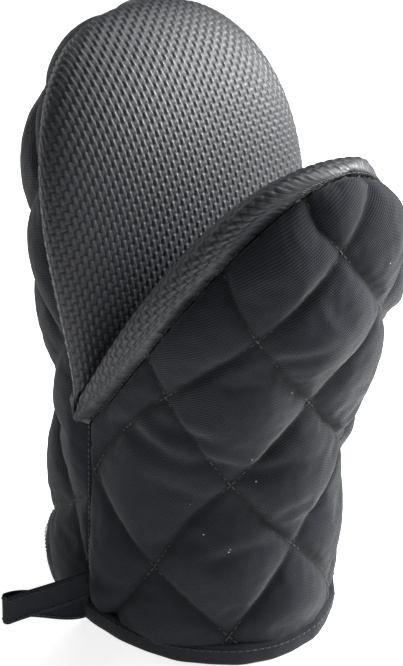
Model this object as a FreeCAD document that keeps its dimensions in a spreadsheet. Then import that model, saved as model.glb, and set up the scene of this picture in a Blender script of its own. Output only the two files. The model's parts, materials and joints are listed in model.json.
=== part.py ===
"""Puppet-style oven mitt, millimetres, standing on its cuff.

The origin is the centre of the hand opening, +Z runs up the forearm to the finger tips,
+Y points from the thumb side to the back of the hand, and the hanging loop is on -X.
Every padded face is a hull lofted through oval sections; each layer of cloth is the
difference of two nested copies of a hull, trimmed where the jaws bend.
"""
import FreeCAD, Part
import math
import os

Vector = FreeCAD.Vector
Rotation = FreeCAD.Rotation
Placement = FreeCAD.Placement

doc = FreeCAD.newDocument("OvenMitt")

# ---------------------------------------------------------------- driving sizes, mm and degrees
SIZES = {
    # cuff: half sizes of the oval at the hem and at the neck, below the crotch of the jaws
    "hem_side": 57.0, "hem_front": 70.0, "hem_back": 78.0,
    "neck_side": 57.5, "neck_front": 67.0, "neck_back": 65.5,
    "crotch_height": 98.0,
    # the four-finger jaw
    "finger_length": 162.5, "finger_side": 64.5, "finger_back": 56.5, "finger_grip": 35.0,
    "finger_lean": 14.4, "finger_bow": 5.0,
    # the thumb jaw
    "thumb_length": 141.0, "thumb_side": 57.7, "thumb_front": 42.0, "thumb_grip": 35.0,
    "thumb_lean": 33.7, "thumb_bow": 6.0,
    # layers of cloth
    "shell": 1.2, "wadding": 5.0, "lining": 1.0, "neoprene": 3.2, "grip_lining": 1.0,
    "seam_gap": 0.4, "thread": 0.35,
    # hem binding tape
    "binding_height": 10.0, "binding_tape": 0.9,
    # bend lines of the two jaws, down from level, and the neoprene fold between them
    "cuff_cut_front": 30.0, "thumb_cut": 12.0, "cuff_cut_back": 20.0, "finger_cut": 0.0,
    "fold_gap": 0.3, "crotch_reach": 30.0, "crotch_low": 2.0, "crotch_depth": 5.0, "crotch_back": 1.8,
    # seams, in from the outside of the cloth
    "side_seam_inset": 1.2, "rim_seam_inset": 1.0,
    # hanging loop of twill tape
    "loop_length": 46.0, "loop_radius": 5.0, "loop_tape": 1.2, "loop_width": 13.5,
    "loop_bottom": 7.0, "loop_pivot": 59.2, "loop_clearance": 0.1,
    "tack_length": 0.5, "tack_proud": 0.6,
}
TIP_SHARE = 0.985        # the oval that closes a jaw at its tip is the one due here, moved to the end
HALF_SPACE = 400.0       # side of the boxes used to trim the hulls
PAD_WEDGE = 0.28         # how fast a grip pad swells away from the crotch
TAPE_ROOM = 0.05         # room between the binding tape and the cloth inside it
ROOT_TAIL = 90.0         # how far each jaw's hull runs down inside the cuff before it is trimmed

sheet = doc.addObject("Spreadsheet::Sheet", "Sizes")
for row, (alias, value) in enumerate(SIZES.items(), start=1):
    sheet.set(f"A{row}", alias)
    sheet.set(f"B{row}", str(value))
    sheet.setAlias(f"B{row}", alias)
doc.recompute()


def size(alias):
    return float(sheet.get(alias))


# ---------------------------------------------------------------- outline laws
def smooth(x):
    """0 to 1 with level ends."""
    x = min(max(x, 0.0), 1.0)
    return x * x * (3 - 2 * x)


def closing(share, start, power):
    """1 up to start, then rounds down to nothing at the tip."""
    w = min(max((share - start) / (1 - start), 0.0), 1.0)
    return (1 - w ** power) ** (1 / power)


def swell(rho):
    """Follows rho while it is small and levels off at 1."""
    return rho / (1 + rho ** 3) ** (1 / 3)


# ---------------------------------------------------------------- parametric helpers
circle = doc.addObject("Part::Circle", "unit_circle")
circle.Radius = 1.0


def bind(obj, **expressions):
    """setExpression on several properties; a double underscore stands for a dot."""
    for prop, text in expressions.items():
        obj.setExpression(prop.replace("__", "."), text)
    return obj


def oval(name, side, depth, height, offset="0"):
    """Oval section across the jaw's axis: a unit circle scaled by two expressions."""
    obj = doc.addObject("Part::Scale", name)
    obj.Base = circle
    obj.Uniform = False
    obj.ZScale = 1.0
    bind(obj, XScale=side, YScale=depth, Placement__Base__y=offset, Placement__Base__z=height)
    return obj


def loft(name, sections):
    obj = doc.addObject("Part::Loft", name)
    obj.Sections = sections
    obj.Solid = True
    obj.Ruled = True
    return obj


def inset(hull, layer_name, inward, side, depth, length):
    """Nested copy of a hull, smaller by the same thickness each way."""
    obj = doc.addObject("Part::Scale", f"{hull.Name}_{layer_name}")
    obj.Base = hull
    obj.Uniform = False
    bind(obj, XScale=f"1 - ({inward}) / {side}", YScale=f"1 - ({inward}) / {depth}")
    if length:
        bind(obj, ZScale=f"1 - ({inward}) / {length}")
    else:
        obj.ZScale = 1.0
    return obj


def half_space(name, placement, y_side=0, z_side=0):
    """Big box whose one face lies on the placement's plane: y_side or z_side is +1 or -1."""
    obj = doc.addObject("Part::Box", name)
    obj.Length = HALF_SPACE
    obj.Width = HALF_SPACE
    obj.Height = HALF_SPACE
    shift = {0: -HALF_SPACE / 2, 1: 0.0, -1: -HALF_SPACE}
    corner = Vector(-HALF_SPACE / 2, shift[y_side], shift[z_side])
    obj.Placement = placement * Placement(corner, Rotation())
    return obj


def boolean(kind, name, base, tool):
    obj = doc.addObject(f"Part::{kind}", name)
    obj.Base = base
    obj.Tool = tool
    return obj


def tilted(angle, z=0.0, y=0.0):
    """Placement turned about X; a positive angle tips the front (-Y) side down."""
    return Placement(Vector(0, y, z), Rotation(Vector(1, 0, 0), angle))


def place_jaw(obj, lean):
    """Stands a piece made along its own Z on the crotch line, leaning by the given expression."""
    obj.Placement = Placement(Vector(0, 0, 0), Rotation(Vector(1, 0, 0), 1.0))
    bind(obj, Placement__Base__z="Sizes.crotch_height", Placement__Rotation__Angle=lean)
    return obj


nodes = {}


def node(name, obj):
    obj.Label = name
    nodes[name] = obj
    return obj


# ---------------------------------------------------------------- hulls
CUFF_STATIONS = (-0.05, 0.3, 0.6, 0.85, 1.15)   # shares of the crotch height; the hem is trimmed level
JAW_STATIONS = (0.0, 0.15, 0.3, 0.45, 0.6, 0.72, 0.83, 0.91, 0.97, 1.0)


def cuff_hull(name, face):
    """Upright oval tube for one face of the cuff."""
    sections = []
    for i, share in enumerate(CUFF_STATIONS):
        k = smooth(share / 0.9)
        sections.append(oval(
            f"{name}_section_{i}",
            f"Sizes.hem_side + (Sizes.neck_side - Sizes.hem_side) * {k:.4f}",
            f"Sizes.hem_{face} + (Sizes.neck_{face} - Sizes.hem_{face}) * {k:.4f}",
            f"Sizes.crotch_height * {share}"))
    return loft(name, sections)


def jaw_hull(name, jaw, face, close_start, close_power):
    """Oval tube along one jaw, rounded at the tip. The bow moves the quilt's middle towards the thumb side."""
    neck = "neck_front" if jaw == "thumb" else "neck_back"
    tail = () if face == "grip" else (-ROOT_TAIL / size(f"{jaw}_length"),)
    sections = []
    for i, share in enumerate(tail + JAW_STATIONS):
        up = min(max(share, 0.0), TIP_SHARE)
        width = f"Sizes.neck_side + (Sizes.{jaw}_side - Sizes.neck_side) * {smooth(up / 0.5):.4f}"
        if face == "grip":
            rho = PAD_WEDGE * max(share, 0.03) * size(f"{jaw}_length") / size(f"{jaw}_grip")
            depth = f"Sizes.{jaw}_grip * {swell(rho):.4f}"
        else:
            depth = f"Sizes.{neck} + (Sizes.{jaw}_{face} - Sizes.{neck}) * {smooth(up / 0.55):.4f}"
        side = f"({width}) * {closing(up, close_start, close_power):.4f}"
        deep = f"({depth}) * {closing(up, close_start - 0.1, close_power):.4f}"
        bow = "0" if face == "grip" else f"-Sizes.{jaw}_bow * {4 * up * (1 - up):.4f}"
        sections.append(oval(f"{name}_section_{i}", side, deep,
                             f"Sizes.{jaw}_length * {share:.5f}", bow))
    return loft(name, sections)


FINGER_CLOSE = (0.46, 2.3)
THUMB_CLOSE = (0.30, 1.93)
cuff_front = cuff_hull("cuff_front_hull", "front")
cuff_back = cuff_hull("cuff_back_hull", "back")
finger_back = jaw_hull("finger_back_hull", "finger", "back", *FINGER_CLOSE)
finger_grip = jaw_hull("finger_grip_hull", "finger", "grip", *FINGER_CLOSE)
thumb_front = jaw_hull("thumb_front_hull", "thumb", "front", *THUMB_CLOSE)
thumb_grip = jaw_hull("thumb_grip_hull", "thumb", "grip", *THUMB_CLOSE)

# ---------------------------------------------------------------- regions each face is trimmed to
gap, fold_gap = size("seam_gap"), size("fold_gap")
crotch = size("crotch_height")


def region(name, boxes):
    joined = boxes[0]
    for i, box in enumerate(boxes[1:]):
        joined = boolean("Common", f"{name}_{i}", joined, box)
    return joined


hem_up = half_space("above_tape", tilted(0, z=size("binding_tape") + TAPE_ROOM), z_side=1)
cuff_front_region = region("cuff_front_region", [
    half_space("front_half", tilted(0, y=-gap), y_side=-1),
    half_space("below_thumb_bend", tilted(size("cuff_cut_front"), z=crotch), z_side=-1), hem_up])
cuff_back_region = region("cuff_back_region", [
    half_space("back_half", tilted(0, y=gap), y_side=1),
    half_space("below_finger_bend", tilted(-size("cuff_cut_back"), z=crotch), z_side=-1), hem_up])
thumb_fold_region = region("thumb_fold_region", [
    half_space("fold_front_half", tilted(0, y=-3 * gap), y_side=-1),
    half_space("fold_front_low", tilted(size("cuff_cut_front"), z=crotch + fold_gap), z_side=1),
    half_space("fold_front_high", tilted(size("thumb_cut"), z=crotch - fold_gap), z_side=-1)])
knuckle_fold_region = region("knuckle_fold_region", [
    half_space("fold_back_half", tilted(0, y=3 * gap), y_side=1),
    half_space("fold_back_low", tilted(-size("cuff_cut_back"), z=crotch + fold_gap), z_side=1),
    half_space("fold_back_high", tilted(-size("finger_cut"), z=crotch - fold_gap), z_side=-1)])
# regions of the jaws are in each jaw's own frame, whose origin is the crotch line
finger_region = region("finger_region", [
    half_space("finger_back_half", tilted(0, y=gap), y_side=1),
    half_space("finger_above_bend",
               tilted(size("finger_lean") - size("finger_cut")), z_side=1)])
thumb_region = region("thumb_region", [
    half_space("thumb_front_half", tilted(0, y=-gap), y_side=-1),
    half_space("thumb_above_bend",
               tilted(size("thumb_cut") - size("thumb_lean")), z_side=1)])
finger_grip_region = region("finger_grip_region", [
    half_space("finger_grip_half", tilted(0, y=-gap), y_side=-1),
    half_space("finger_above_crotch", tilted(0, z=size("crotch_reach")), z_side=1)])
thumb_grip_region = region("thumb_grip_region", [
    half_space("thumb_grip_half", tilted(0, y=gap), y_side=1),
    half_space("thumb_above_crotch", tilted(0, z=size("crotch_reach")), z_side=1)])


# ---------------------------------------------------------------- layers of cloth
def layers(hull, names, depths, side, depth, length, trim, lean=None):
    """One sub-part per layer: outer hull less the next one in, kept inside its region."""
    copies = [hull]
    for name, inward in zip(names, depths):
        copies.append(inset(hull, name, inward, side, depth, length))
    for i, name in enumerate(names):
        layer = boolean("Cut", f"{name}_layer", copies[i], copies[i + 1])
        piece = boolean("Common", name, layer, trim)
        if lean:
            place_jaw(piece, lean)
        node(name, piece)
    return copies


QUILT_DEPTHS = ("Sizes.shell", "Sizes.shell + Sizes.wadding", "Sizes.shell + Sizes.wadding + Sizes.lining")
PAD_DEPTHS = ("Sizes.neoprene", "Sizes.neoprene + Sizes.grip_lining")

layers(cuff_front, ["front_shell_cuff", "front_wadding_cuff", "front_lining_cuff"], QUILT_DEPTHS,
       "Sizes.neck_side", "Sizes.neck_front", None, cuff_front_region)
layers(cuff_back, ["back_shell_cuff", "back_wadding_cuff", "back_lining_cuff"], QUILT_DEPTHS,
       "Sizes.neck_side", "Sizes.neck_back", None, cuff_back_region)
layers(thumb_front, ["front_shell_thumb", "front_wadding_thumb", "front_lining_thumb"], QUILT_DEPTHS,
       "Sizes.thumb_side", "Sizes.neck_front", "Sizes.thumb_length", thumb_region, "Sizes.thumb_lean")
layers(finger_back, ["back_shell_fingers", "back_wadding_fingers", "back_lining_fingers"], QUILT_DEPTHS,
       "Sizes.finger_side", "Sizes.neck_back", "Sizes.finger_length", finger_region,
       "-Sizes.finger_lean")
layers(finger_grip, ["grip_pad_fingers", "grip_lining_fingers"], PAD_DEPTHS,
       "Sizes.finger_side", "Sizes.finger_grip", "Sizes.finger_length", finger_grip_region,
       "-Sizes.finger_lean")
layers(thumb_grip, ["grip_pad_thumb", "grip_lining_thumb"], PAD_DEPTHS,
       "Sizes.thumb_side", "Sizes.thumb_grip", "Sizes.thumb_length", thumb_grip_region,
       "Sizes.thumb_lean")

# ---------------------------------------------------------------- the quilt where each jaw bends
QUILT = "Sizes.shell + Sizes.wadding + Sizes.lining"
for name, hull, depth, trim in (("thumb_fold", cuff_front, "Sizes.neck_front", thumb_fold_region),
                                ("knuckle_fold", cuff_back, "Sizes.neck_back", knuckle_fold_region)):
    inner = inset(hull, name, QUILT, "Sizes.neck_side", depth, None)
    ring = boolean("Cut", f"{name}_ring", hull, inner)
    node(name, boolean("Common", name, ring, trim))


# ---------------------------------------------------------------- the neoprene crotch, folded between the jaws
def crotch_side(jaw, hull, y_side, lean):
    """One wall of the folded neoprene, from the crotch line to where that jaw's pad starts."""
    inner = inset(hull, "crotch", "Sizes.neoprene", f"Sizes.{jaw}_side", f"Sizes.{jaw}_grip",
                  f"Sizes.{jaw}_length")
    wall = boolean("Cut", f"{jaw}_crotch_wall", hull, inner)
    trim = region(f"{jaw}_crotch_region", [
        half_space(f"{jaw}_crotch_half", tilted(0, y=y_side * gap), y_side=y_side),
        half_space(f"{jaw}_crotch_low", tilted(0, z=size("crotch_low")), z_side=1),
        half_space(f"{jaw}_crotch_high", tilted(0, z=size("crotch_reach") - fold_gap), z_side=-1)])
    piece = boolean("Common", f"{jaw}_crotch", wall, trim)
    return place_jaw(piece, lean)


fold_walls = [crotch_side("finger", finger_grip, -1, "-Sizes.finger_lean"),
              crotch_side("thumb", thumb_grip, 1, "Sizes.thumb_lean")]
fold_line = doc.addObject("Part::Box", "crotch_fold_line")
CROTCH_HALF = f"(Sizes.neck_side - ({QUILT}) - Sizes.lining)"
bind(fold_line, Length=f"2 * {CROTCH_HALF}", Width="Sizes.crotch_depth", Height="Sizes.neoprene",
     Placement__Base__x=f"-{CROTCH_HALF}", Placement__Base__y="Sizes.crotch_back - Sizes.crotch_depth",
     Placement__Base__z="Sizes.crotch_height + Sizes.crotch_low / 2")
crotch_fold = doc.addObject("Part::MultiFuse", "crotch_fold")
crotch_fold.Shapes = fold_walls + [fold_line]
node("crotch_fold", crotch_fold)

# ---------------------------------------------------------------- seams: a line of thread in the gap between two faces
for name, sign in (("side_seam_left", -1), ("side_seam_right", 1)):
    thread = doc.addObject("Part::Cylinder", name)
    bind(thread, Radius="Sizes.thread", Height="Sizes.crotch_height - Sizes.binding_height - 3",
         Placement__Base__x=f"{sign} * (Sizes.hem_side - Sizes.side_seam_inset)",
         Placement__Base__z="Sizes.binding_height + 1")
    node(name, thread)


def rim_seam(name, jaw, hull, lean):
    """Thread round the edge of a jaw, where its quilt meets its grip pad."""
    outer = inset(hull, f"{name}_outer", "Sizes.rim_seam_inset", f"Sizes.{jaw}_side", f"Sizes.{jaw}_grip",
                  f"Sizes.{jaw}_length")
    inner = inset(hull, f"{name}_inner", "Sizes.rim_seam_inset + 2 * Sizes.thread", f"Sizes.{jaw}_side",
                  f"Sizes.{jaw}_grip", f"Sizes.{jaw}_length")
    ring = boolean("Cut", f"{name}_ring", outer, inner)
    slab = doc.addObject("Part::Box", f"{name}_slab")
    slab.Length = HALF_SPACE
    slab.Height = HALF_SPACE
    slab.Placement = Placement(Vector(-HALF_SPACE / 2, 0, 0), Rotation())
    bind(slab, Width="2 * (Sizes.seam_gap - 0.05)", Placement__Base__y="-(Sizes.seam_gap - 0.05)",
         Placement__Base__z="Sizes.crotch_reach + 1")
    node(name, place_jaw(boolean("Common", name, ring, slab), lean))


rim_seam("finger_seam", "finger", finger_grip, "-Sizes.finger_lean")
rim_seam("thumb_seam", "thumb", thumb_grip, "Sizes.thumb_lean")


# ---------------------------------------------------------------- hem binding: tape folded over the raw edge of the cuff
def binding_half(face, hull, y_side):
    """U-shaped tape round one face: a ring of tape, less the room for the three layers."""
    depth = f"Sizes.neck_{face}"
    outside = inset(hull, "tape_outside", "-Sizes.binding_tape", "Sizes.neck_side", depth, None)
    inside = inset(hull, "tape_inside", f"{QUILT} + Sizes.binding_tape", "Sizes.neck_side", depth, None)
    ring = boolean("Cut", f"{face}_tape_ring", outside, inside)
    room_out = inset(hull, "tape_room_out", f"-{TAPE_ROOM}", "Sizes.neck_side", depth, None)
    room_in = inset(hull, "tape_room_in", f"{QUILT} + {TAPE_ROOM}", "Sizes.neck_side", depth, None)
    room = boolean("Cut", f"{face}_tape_room", room_out, room_in)
    lifted = boolean("Common", f"{face}_tape_room_up", room,
                     half_space(f"{face}_above_fold", tilted(0, z=size("binding_tape")), z_side=1))
    channel = boolean("Cut", f"{face}_tape_channel", ring, lifted)
    low = region(f"{face}_tape_region", [
        half_space(f"{face}_tape_half", tilted(0), y_side=y_side),
        half_space(f"{face}_tape_bottom", tilted(0), z_side=1),
        half_space(f"{face}_tape_top", tilted(0, z=size("binding_height")), z_side=-1)])
    return boolean("Common", f"{face}_tape", channel, low)


hem_binding = doc.addObject("Part::MultiFuse", "hem_binding")
hem_binding.Shapes = [binding_half("front", cuff_front, -1), binding_half("back", cuff_back, 1)]
node("hem_binding", hem_binding)

# ---------------------------------------------------------------- hanging loop: tape doubled back on itself
spread = size("loop_radius") - size("loop_tape") - size("loop_clearance")
lean_of_leg = math.degrees(math.asin(spread / size("loop_length")))
legs = []
for name, sign in (("loop_leg_back", 1), ("loop_leg_front", -1)):
    leg = doc.addObject("Part::Box", name)
    bind(leg, Length=f"Sizes.loop_length * {math.cos(math.radians(lean_of_leg)):.5f}",
         Width="Sizes.loop_tape", Height="Sizes.loop_width",
         Placement__Base__x="-Sizes.loop_pivot", Placement__Base__z="Sizes.loop_bottom")
    turn = Rotation(Vector(0, 0, 1), 180 - sign * lean_of_leg)
    near_side = sign * size("loop_clearance") + (size("loop_tape") if sign > 0 else 0.0)
    edge = Vector(-size("loop_pivot"), near_side, size("loop_bottom"))
    leg.Placement = Placement(edge, turn)
    legs.append(leg)
bend_outer = doc.addObject("Part::Cylinder", "loop_bend_outer")
bend_inner = doc.addObject("Part::Cylinder", "loop_bend_inner")
for bend, radius in ((bend_outer, "Sizes.loop_radius"), (bend_inner, "Sizes.loop_radius - Sizes.loop_tape")):
    bind(bend, Radius=radius, Height="Sizes.loop_width",
         Placement__Base__x="-Sizes.loop_pivot - Sizes.loop_length",
         Placement__Base__z="Sizes.loop_bottom")
bend_ring = boolean("Cut", "loop_bend_ring", bend_outer, bend_inner)
past_bend = doc.addObject("Part::Box", "loop_past_bend")
past_bend.Length = HALF_SPACE
past_bend.Width = HALF_SPACE
past_bend.Height = HALF_SPACE
bind(past_bend, Placement__Base__x="-Sizes.loop_pivot - Sizes.loop_length + 0.4",
     Placement__Base__y=f"-{HALF_SPACE / 2}", Placement__Base__z="-10")
bend_half = boolean("Cut", "loop_bend", bend_ring, past_bend)
hanging_loop = doc.addObject("Part::MultiFuse", "hanging_loop")
hanging_loop.Shapes = legs + [bend_half]
node("hanging_loop", hanging_loop)

bar_tack = doc.addObject("Part::Box", "loop_bar_tack")
bind(bar_tack, Length="Sizes.tack_length", Width="2 * Sizes.thread", Height="Sizes.loop_width",
     Placement__Base__x="-Sizes.hem_side - Sizes.binding_tape - Sizes.tack_proud",
     Placement__Base__y="-Sizes.thread", Placement__Base__z="Sizes.loop_bottom")
node("loop_bar_tack", bar_tack)

# ---------------------------------------------------------------- build, check, write
doc.recompute()
for obj in doc.Objects:
    if "Invalid" in obj.State or "Error" in obj.State:
        raise RuntimeError(f"{obj.Label} did not build: {obj.State}")
os.makedirs("parts", exist_ok=True)
for name, obj in nodes.items():
    shape = obj.Shape
    if shape.isNull() or not shape.isValid() or not shape.Solids or shape.Volume <= 0:
        raise RuntimeError(f"{name} has no valid solid")
    shape.exportStep(os.path.join("parts", f"{name}.step"))
    box = shape.optimalBoundingBox(False)
    print(f"{name:24s} {len(shape.Solids)} solid(s) {shape.Volume:10.1f} mm3  "
          f"z {box.ZMin:.1f} to {box.ZMax:.1f}")
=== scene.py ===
# %% [markdown]
# # A puppet-style oven mitt
# The mitt stands on its cuff with its two jaws open. The charcoal outside is quilted cotton twill, the two
# gripping faces are embossed neoprene, the hem is bound with tape, and a doubled tape hangs from the left
# seam. Everything is cut flat first, as a sewing pattern, and then laid on a padded form, so that the weave,
# the quilting rows and the embossing all run straight through the cloth and bend only where the cloth does.

# %% The frame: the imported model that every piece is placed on
import json
import math
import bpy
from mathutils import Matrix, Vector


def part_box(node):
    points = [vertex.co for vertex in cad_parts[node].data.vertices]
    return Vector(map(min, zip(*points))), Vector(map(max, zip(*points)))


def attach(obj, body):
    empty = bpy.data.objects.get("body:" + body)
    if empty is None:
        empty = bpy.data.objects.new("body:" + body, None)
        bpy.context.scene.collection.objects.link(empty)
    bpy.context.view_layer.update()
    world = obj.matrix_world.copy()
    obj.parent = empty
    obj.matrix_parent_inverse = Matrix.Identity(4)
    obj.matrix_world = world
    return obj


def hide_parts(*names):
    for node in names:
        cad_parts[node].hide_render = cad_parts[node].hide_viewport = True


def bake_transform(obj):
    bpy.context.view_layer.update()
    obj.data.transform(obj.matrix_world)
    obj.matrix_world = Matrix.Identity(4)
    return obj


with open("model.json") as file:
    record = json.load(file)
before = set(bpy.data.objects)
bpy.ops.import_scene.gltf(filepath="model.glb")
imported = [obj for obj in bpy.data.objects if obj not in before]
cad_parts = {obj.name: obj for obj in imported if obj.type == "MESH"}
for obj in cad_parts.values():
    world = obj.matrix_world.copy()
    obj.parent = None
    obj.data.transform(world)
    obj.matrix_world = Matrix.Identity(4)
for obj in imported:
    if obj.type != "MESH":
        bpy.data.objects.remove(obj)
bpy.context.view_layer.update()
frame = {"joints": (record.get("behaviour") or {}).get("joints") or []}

from types import SimpleNamespace

import bmesh
import bpy
import numpy as np
from mathutils import Matrix, Vector, kdtree

MM = 0.001
hinge = next(j for j in frame["joints"] if j["name"] == "finger_flex")
CROTCH = hinge["pos_m"][2]
print("crotch of the jaws is", round(CROTCH / MM, 1), "mm above the hem")

# %% [markdown]
# ## The padded form
# A mitt has three seam lines: the side seams up the cuff, and from the crotch one seam round each jaw. Each
# panel is an arch thrown from the left seam to the right one. I describe the seams and the height of the
# arches with a few smooth laws, which is the quickest way to get a stuffed shape that stays editable: change
# one number below and every layer, stitch and binding follows.

# %% Sizes of the form
HEM_SIDE, HEM_FRONT, HEM_BACK = 57 * MM, 70 * MM, 78 * MM
NECK_SIDE, NECK_FRONT, NECK_BACK = 57.5 * MM, 67 * MM, 65.5 * MM
SEAM_SINK = 1.2 * MM          # how deep the seams lie between two padded faces
CORNER = 40 * MM              # length over which a panel's middle rounds the bend at the crotch
CROWN = 0.96                  # how round an arch is: 1 is an ellipse, less is squarer
TILT_BELOW, TILT_OVER = 75 * MM, 145 * MM      # where a quilted arch starts to lean with its jaw; how far up

fingers = SimpleNamespace(
    name="fingers", length=162.5 * MM, lean=math.radians(14.4), bow=-5 * MM, side=64.5 * MM,
    hem=HEM_BACK, neck=NECK_BACK, quilt=56.5 * MM, grip=32.5 * MM, close=(0.46, 2.3), facing=1,
    fold=10 * MM, past=1 * MM, square=(0.40, 0.28))
thumb = SimpleNamespace(
    name="thumb", length=141 * MM, lean=math.radians(33.7), bow=6 * MM, side=57.7 * MM,
    hem=HEM_FRONT, neck=NECK_FRONT, quilt=42 * MM, grip=34 * MM, close=(0.30, 1.93), facing=-1,
    fold=10 * MM, past=6 * MM, square=(0.34, 0.14))
for jaw in (fingers, thumb):
    # along the jaw, and out through its quilted side, both as (y, z)
    jaw.along = np.array([jaw.facing * math.sin(jaw.lean), math.cos(jaw.lean)])
    jaw.out = np.array([jaw.facing * math.cos(jaw.lean), -math.sin(jaw.lean)])
print("the jaws lean", [round(math.degrees(jaw.lean)) for jaw in (fingers, thumb)], "degrees from upright")


# %% Small helpers for vectors and curves
def unit(vectors):
    """Vectors scaled to length one, along the last axis."""
    return vectors / (np.linalg.norm(vectors, axis=-1, keepdims=True) + 1e-12)


def way_along(points):
    """Length of a polyline from its start to each of its points."""
    return np.concatenate([[0], np.cumsum(np.linalg.norm(np.diff(points, axis=0), axis=-1))])


def smooth(x):
    """0 below 0 and 1 above 1, with an easy step between."""
    x = np.clip(x, 0, 1)
    return x * x * (3 - 2 * x)


def closing(share, start, power):
    """1 up to start, then rounds down to nothing at the tip."""
    w = np.clip((share - start) / (1 - start), 0, 1)
    return np.clip(1 - w ** power, 0, 1) ** (1 / power)


UP = np.array([0.0, 1.0])
CROTCH_UP = unit(-(fingers.out + thumb.out))
print("the crotch faces", CROTCH_UP.round(2), "as (y, z)")


# %% The laws: seam, half width, and the two arches
def seam_middle(way, jaw, rounding=0.0):
    """(y, z) half way between the two seams, at a distance along them from the crotch; below it, way < 0."""
    share = np.clip(way / jaw.length, 0, 1)
    if rounding:
        eased = (way + rounding) ** 2 / (4 * rounding)
        past = np.where(way < -rounding, 0, np.where(way > rounding, way, eased))
        bow = jaw.bow * 4 * share * (1 - share) * smooth(share / 0.5)
    else:
        past = np.maximum(way, 0)
        bow = jaw.bow * 4 * share * (1 - share)
    return (np.array([0, CROTCH]) + way[..., None] * UP + past[..., None] * (jaw.along - UP)
            + bow[..., None] * jaw.out)


def half_width(way, jaw):
    """Half the distance between the two seams."""
    low = HEM_SIDE + (NECK_SIDE - HEM_SIDE) * smooth((way + CROTCH) / CROTCH)
    share = way / jaw.length
    high = (NECK_SIDE + (jaw.side - NECK_SIDE) * smooth(share / 0.5)) * closing(share, *jaw.close)
    return np.where(way < 0, low, high)


def seam_run(jaw, ways, side):
    """Points along a seam; side is -1 for the left one and 1 for the right one."""
    return np.concatenate([(side * half_width(ways, jaw))[:, None], seam_middle(ways, jaw)], 1)


def quilt_arch(way, turn, jaw):
    """Point of a quilted face; turn runs from 0 at the left seam to pi at the right one."""
    middle, spine = seam_middle(way, jaw), seam_middle(way, jaw, CORNER)
    depth = (jaw.hem + (jaw.neck - jaw.hem) * smooth((way + CROTCH) / CROTCH / 0.9)
             + (jaw.quilt - jaw.neck) * smooth(way / (0.55 * jaw.length)))
    start, power = jaw.close
    depth = depth * closing(way / jaw.length, start - 0.1, power)
    tilt = jaw.lean * smooth((way + TILT_BELOW) / TILT_OVER)
    crown = spine + depth[..., None] * np.stack([jaw.facing * np.cos(tilt), -np.sin(tilt)], -1)
    yz = middle + (crown - middle) * (np.abs(np.sin(turn)) ** CROWN)[..., None]
    return np.concatenate([(-half_width(way, jaw) * np.cos(turn))[..., None], yz], -1)


ROLL_LEFT, ROLL_RIGHT = 8.0 * MM, -4.0 * MM    # how far the foam bulges out over its seam
CROTCH_SQUARE = 0.16          # how abruptly the folded foam rises from the seam at the crotch
GAPE = 0.26                   # how fast the two faces part above the crotch
PRESSED = 22 * MM             # length over which each face takes its own direction


def grip_arch(way, turn, jaw):
    """Point of a neoprene face. Near the crotch the two faces are pressed together: low and square."""
    swell = (jaw.fold + GAPE * way) / jaw.grip
    start, power = jaw.close
    height = jaw.grip * swell / (1 + swell ** 3) ** (1 / 3) * closing(way / jaw.length, start - 0.1, power)
    own = smooth(way / PRESSED)[..., None]
    toward = unit(CROTCH_UP * (1 - own) - jaw.out * own)
    share = way / jaw.length
    squareness = (CROTCH_SQUARE + (jaw.square[0] - CROTCH_SQUARE) * smooth(share / 0.15)
                  + jaw.square[1] * smooth(share / 0.6))
    lifted = np.clip(np.abs(np.sin(turn)), 1e-9, 1) ** squareness
    before_tip = closing(share, 0.88, 2)
    roll = ((ROLL_LEFT + (ROLL_RIGHT - ROLL_LEFT) * smooth(turn / math.pi))
            * 2 * np.sqrt(lifted * (1 - lifted)) * before_tip)
    past_tip = jaw.past * np.abs(np.sin(turn)) ** 0.3 * smooth((share - 0.6) / 0.3) * before_tip
    yz = (seam_middle(way, jaw) + (height * lifted)[..., None] * toward
          + past_tip[..., None] * jaw.along)
    side = half_width(way, jaw) + roll * np.cos(turn) ** 2
    return np.concatenate([(-side * np.cos(turn))[..., None], yz], -1)


print("the form is", round((CROTCH + fingers.length * math.cos(fingers.lean)) / MM), "mm tall")

# %% [markdown]
# ## From flat pattern to form
# A panel's flat pattern has u across it and v up its middle. To lay a flat point on the form I look up how
# far up the arch rows it lies and how far round the arch, both by length of cloth and not by angle, so that
# the cloth isn't stretched more than it has to be. The pattern's edge is the seam line. Cloth outside it is
# the seam allowance, and it is tucked into the mitt.

# %% The pattern class
ROWS, ROUND, SHARES = 240, 161, 200


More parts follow.
